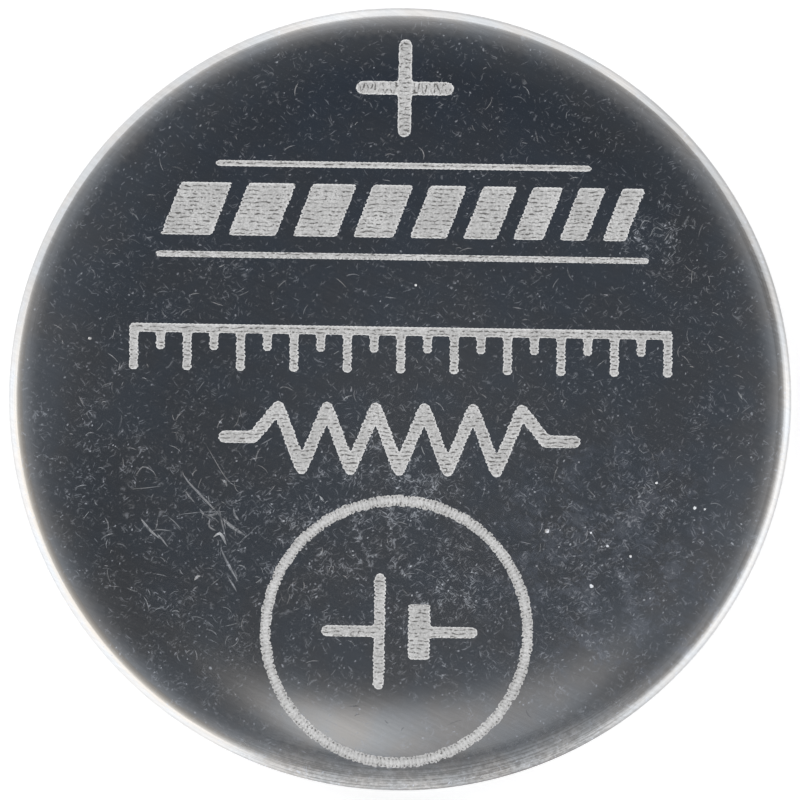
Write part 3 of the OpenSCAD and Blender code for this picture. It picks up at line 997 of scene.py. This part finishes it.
def steel(name, tint, handled):
    """Bright plated steel with handling scuffs. The can shows them in full and the cap less."""
    material = bpy.data.materials.new(name)
    n = Nodes(material)
    place = n.place()
    much = n.product(wear_map(n, place), handled)
    scuffs = scuff_marks(n, place, much)
    # darker carries painted shade on the rolled edge and the side of the can, as well as drawing lines and
    # wear
    edge, drawn, worn_and_shaded, darker, tarnish = edge_wear_and_shade(n, place)
    cut = n.attribute("cut")
    uneven = n.span(n.noise(place, 8.0, detail=2.0), 0.38, 0.60, 0.25, 1.05)
    smudge = n.product(n.span(n.noise(place, 4.5, detail=4.0, rough=0.7), 0.42, 0.75),
                       n.span(much, 0.2, 1.1))
    cloud = n.span(n.noise(place, 1.7, detail=4.0, rough=0.8), 0.44, 0.66)
    haze = n.product(around(n, place, *HAZE_AT), cloud)
    veil = n.most(*(around(n, place, *at) for at in VEILS_AT))
    base = steel_tone(n, place, tint, darker, tarnish, n.total(scuffs, haze))
    dull = n.total(n.product(scuffs, 0.33), n.product(cut, uneven, 0.33), n.product(smudge, 0.010),
                   n.product(haze, 0.036), n.product(worn_and_shaded, 0.12), n.product(drawn, 0.02),
                   n.product(edge, 0.010), n.product(veil, 0.009))
    rough = n.total(0.10, n.product(scuffs, 0.03), n.product(cut, 0.2), n.product(haze, 0.04),
                    n.product(worn_and_shaded, 0.40), n.product(drawn, 0.06))
    # Only the drawing lines get a bump. The scuffs are so shallow that theirs wouldn't show
    bump = n.add("Bump", {"Height": drawn, "Strength": 0.25, "Distance": 0.0012 * MM})
    n.principled({"Base Color": base, "Roughness": n.math("MINIMUM", rough, 0.75),
                  "Normal": bump.outputs[0], "Metallic": n.math("SUBTRACT", 1.0, dull)})
    return material


def etched_steel():
    """Laser-marked steel: pale, dull and rough, darker along the strokes and in small pits, and paler at
    the outlines, partly an outline pass and partly a painted highlight.
    """
    material = bpy.data.materials.new("etched_steel")
    n = Nodes(material)
    place = n.place()
    groove = n.attribute("groove")
    grain = n.noise(place, 20.0, detail=3.0, rough=0.7)
    broken = n.noise(n.vector("MULTIPLY", place, (0.7, 1.0, 1.0)), 9.0, detail=2.0)
    blot = n.noise(place, 1.2, detail=2.0)
    pale = n.blend(n.span(blot, 0.35, 0.65), colour(0.66, 0.655, 0.645), colour(0.77, 0.765, 0.755))
    pale = n.blend(n.span(grain, 0.35, 0.65, 0.6, 0.0), pale, colour(0.36, 0.355, 0.35))
    line = n.product(n.span(groove, 0.42, 0.80), n.span(broken, 0.38, 0.50))
    base = n.blend(n.product(line, 0.95), pale, DARK_GREY)
    # Paler at the outlines: partly the laser's outline pass, partly a painted highlight on the edge of the
    # recess
    base = n.blend(n.span(groove, 0.1, -0.7, 0.0, 0.6), base, colour(0.94, 0.935, 0.93))
    pit = n.span(n.noise(place, 12.0, detail=1.0), 0.31, 0.24)
    base = n.blend(n.product(pit, 0.8), base, colour(0.10, 0.095, 0.09))
    bump = n.add("Bump", {"Height": grain, "Strength": 0.5, "Distance": 0.01 * MM})
    n.principled({"Base Color": base, "Roughness": n.span(grain, 0.3, 0.7, 0.42, 0.62),
                  "Metallic": 0.25, "Normal": bump.outputs[0]})
    return material


# A pale and a dark tone of each plain material
BLACK_PLASTIC = ((0.030, 0.030, 0.032), (0.016, 0.016, 0.018))
POWDER = ((0.055, 0.055, 0.060), (0.020, 0.020, 0.022))
LITHIUM = ((0.72, 0.73, 0.74), (0.48, 0.48, 0.49))
CLOTH = ((0.95, 0.95, 0.93), (0.80, 0.80, 0.77))
BARE_STEEL = ((0.66, 0.65, 0.64), (0.48, 0.48, 0.48))


def plain(name, tones, scale, rough, metallic, height, stretch=(1, 1, 1)):
    """A grained material: two tones, a roughness range and a bump from the same noise."""
    pale, dark = tones
    material = bpy.data.materials.new(name)
    n = Nodes(material)
    place = n.vector("MULTIPLY", n.place(), stretch)
    grain = n.noise(place, scale, detail=4.0, rough=0.65)
    cloud = n.noise(place, scale * 0.12, detail=2.0)
    mixed = n.total(n.product(grain, 0.6), n.product(cloud, 0.4))
    base = n.blend(n.span(mixed, 0.35, 0.65), colour(*dark), colour(*pale))
    bump = n.add("Bump", {"Height": grain, "Strength": 0.6, "Distance": height * MM})
    n.principled({"Base Color": base, "Metallic": metallic, "Normal": bump.outputs[0],
                  "Roughness": n.span(grain, 0.3, 0.7, rough[0], rough[1])})
    return material


def dress_contents():
    """Materials of the pieces inside, which keep their CAD shapes."""
    looks = {
        "cathode_pellet": plain("pressed_powder", POWDER, 14, (0.7, 0.95), 0, 0.02),
        "lithium_anode": plain("lithium", LITHIUM, 9, (0.35, 0.6), 1, 0.01, (1, 0.1, 1)),
        "separator": plain("nonwoven", CLOTH, 26, (0.85, 1.0), 0, 0.03),
        "cathode_collector": plain("bare_mesh", BARE_STEEL, 20, (0.3, 0.5), 1, 0.008),
    }
    for node, material in looks.items():
        data = frame["nodes"][node].data
        data.materials.clear()
        data.materials.append(material)


# Camera: straight above, with a long lens, as in the photograph

FRAME_WIDTH = 20.44
LENS = 350.0
SENSOR = 36.0
OFF_CENTRE = (-0.003, -0.020)


def make_camera():
    data = bpy.data.cameras.new("camera")
    data.lens, data.sensor_width, data.clip_start = LENS, SENSOR, 0.01
    camera = new_object("camera", data)
    height = CELL_H - FACE_BEND + FRAME_WIDTH * LENS / SENSOR
    camera.location = (OFF_CENTRE[0] * MM, OFF_CENTRE[1] * MM, height * MM)
    bpy.context.scene.camera = camera


# Surroundings: white floor, a pale horizon, a dark ceiling and four soft lamps

FLOOR_R = 0.42
FLOOR_CORNERS = 96
FLOOR_GLOW = 0.45


def make_floor():
    """White paper. Its own glow shows to camera, glossy and transmission rays only."""
    mesh = bpy.data.meshes.new("floor")
    corners = [(*point, 0) for point in circle(FLOOR_R, FLOOR_CORNERS)]
    mesh.from_pydata(corners, [], [list(range(FLOOR_CORNERS))])
    floor = new_object("floor", mesh)
    material = bpy.data.materials.new("floor_paper")
    n = Nodes(material)
    ray = n.add("LightPath")
    kinds = ("Is Camera Ray", "Is Glossy Ray", "Is Transmission Ray")
    seen = n.most(*(ray.outputs[kind] for kind in kinds))
    grain = n.noise(n.place(), 0.4)
    tone = n.blend(grain, colour(0.80, 0.80, 0.80), colour(0.83, 0.83, 0.83))
    paper = n.add("BsdfDiffuse", {"Color": tone})
    glow = n.add("Emission", {"Color": colour(1, 1, 1), "Strength": n.product(seen, FLOOR_GLOW)})
    both = n.add("AddShader", {0: paper.outputs[0], 1: glow.outputs[0]})
    n.add("OutputMaterial", {"Surface": both.outputs[0]})
    mesh.materials.append(material)


# Tones of the surroundings at angles from their darkest point, in degrees
SKY = [(0, (0.034, 0.042, 0.056)), (2.4, (0.038, 0.046, 0.060)), (4, (0.058, 0.066, 0.078)),
       (6, (0.062, 0.070, 0.083)), (9, (0.080, 0.087, 0.099)), (13, (0.104, 0.111, 0.122)),
       (34, (0.168, 0.175, 0.188)), (62, (0.270, 0.275, 0.285)), (74, (0.40, 0.40, 0.405)),
       (84, (0.62, 0.62, 0.62)), (91, (0.87, 0.87, 0.87))]
# Azimuth and tilt from overhead of that point
DARKEST = (90, 4)
# Darker and lighter parts of the surroundings: azimuth, tilt from overhead, reach and change
LOBES = ((45, 6.5, 4.5, -0.24), (218, 5.2, 5.6, -0.36), (105, 76, 50, 0.35), (-26, 8.2, 4.2, 0.12),
         (170, 7.8, 4.2, 0.10))
LOBE_CORE = 0.3
# A pale panel beside the camera, brighter at its left end, shows as a glow in the lower part of the face
PANEL_AT = (math.radians(1.0), math.radians(-6.3))
PANEL_R = math.radians(3.2)
PANEL_SOFT = 0.008
PANEL_LEFT = colour(0.94, 0.93, 0.92)
PANEL_RIGHT = colour(0.30, 0.305, 0.315)
# It changes tone between these values of a direction's x, and fades out between these of its y
PANEL_ENDS = (-0.032, 0.012)
PANEL_FADE = (-0.040, -0.080)


def direction(azimuth, tilt):
    """Unit vector at a tilt from straight up. Both angles in degrees."""
    a, t = math.radians(azimuth), math.radians(tilt)
    return math.cos(a) * math.sin(t), math.sin(a) * math.sin(t), math.cos(t)


def overhead(n, way):
    """The ceiling, darkest a little off the vertical and paler down to the horizon."""
    away = n.vector("DISTANCE", way, direction(*DARKEST))
    ramp = n.add("ValToRGB", {0: n.math("DIVIDE", away, 2.0)})
    stops = ramp.color_ramp.elements
    while len(stops) < len(SKY):
        stops.new(0.5)
    for stop, (angle, tone) in zip(stops, SKY):
        stop.position = math.sin(math.radians(angle) / 2)
        stop.color = colour(*tone)
    return ramp.outputs[0]


def with_lobes(n, way, sky):
    for azimuth, tilt, reach, change in LOBES:
        away = n.vector("DISTANCE", way, direction(azimuth, tilt))
        wide = 2 * math.sin(math.radians(reach) / 2)
        share = n.span(away, wide, LOBE_CORE * wide, 1.0, 1.0 + change)
        sky = n.vector("MULTIPLY", sky, n.xyz(share, share, share))
    return sky


def with_panel(n, way, sky):
    """The panel fades out towards the camera."""
    middle = (math.sin(PANEL_AT[0]), math.sin(PANEL_AT[1]), math.cos(PANEL_AT[1]))
    lit = n.span(n.vector("DISTANCE", way, middle), PANEL_R + PANEL_SOFT, PANEL_R - PANEL_SOFT)
    split = n.add("SeparateXYZ", {0: way})
    faded = n.span(split.outputs[1], *PANEL_FADE)
    tone = n.blend(n.span(split.outputs[0], *PANEL_ENDS), PANEL_LEFT, PANEL_RIGHT)
    return n.blend(n.product(lit, faded), sky, tone)


def make_world():
    """The surroundings light the cell and show in it. The camera sees plain white behind it."""
    world = bpy.data.worlds.new("studio")
    bpy.context.scene.world = world
    n = Nodes(world)
    way = n.add("TexCoord").outputs["Generated"]
    sky = with_panel(n, way, with_lobes(n, way, overhead(n, way)))
    ray = n.add("LightPath")
    seen = n.most(ray.outputs["Is Camera Ray"], ray.outputs["Is Transmission Ray"])
    back = n.add("Background", {"Color": n.blend(seen, sky, colour(1, 1, 1)), "Strength": 1.0})
    n.add("OutputWorld", {"Surface": back.outputs[0]})
    world.cycles.sampling_method = "NONE"


# Azimuth, tilt from overhead and part of the floor's light of each lamp
LAMPS = [(135, 48, 0.30), (45, 48, 0.24), (225, 48, 0.22), (315, 48, 0.18)]
LAMP_DISTANCE = 0.5
LAMP_SIZE = 0.35


def make_lamps():
    """Four large lamps round the cell, which don't show in the metal."""
    for number, (azimuth, tilt, share) in enumerate(LAMPS):
        way = direction(azimuth, tilt)
        data = bpy.data.lights.new(f"lamp_{number}", "AREA")
        data.shape, data.size = "DISK", LAMP_SIZE
        data.energy = share * math.pi ** 2 * LAMP_DISTANCE ** 2 / way[2]
        lamp = new_object(f"lamp_{number}", data)
        lamp.location = [LAMP_DISTANCE * v for v in way]
        lamp.rotation_euler = (math.radians(tilt), 0, math.radians(azimuth + 90))
        lamp.visible_glossy = False


make_camera()
make_floor()
make_world()
make_lamps()

can_steel = steel("can_steel", (0.80, 0.79, 0.785), 1.0)
cap_steel = steel("cap_steel", (0.775, 0.77, 0.765), 0.5)
gasket_plastic = plain("gasket_plastic", BLACK_PLASTIC, 12, (0.35, 0.55), 0, 0.01)
piece(build_can(), "positive_can", [can_steel, etched_steel()])
piece(lathe("cap_shell", cap_section()), "negative_cap", [cap_steel])
piece(lathe("gasket_ring", gasket_section()), "sealing_gasket", [gasket_plastic])
dress_contents()

bpy.context.scene.view_settings.view_transform = "Standard"
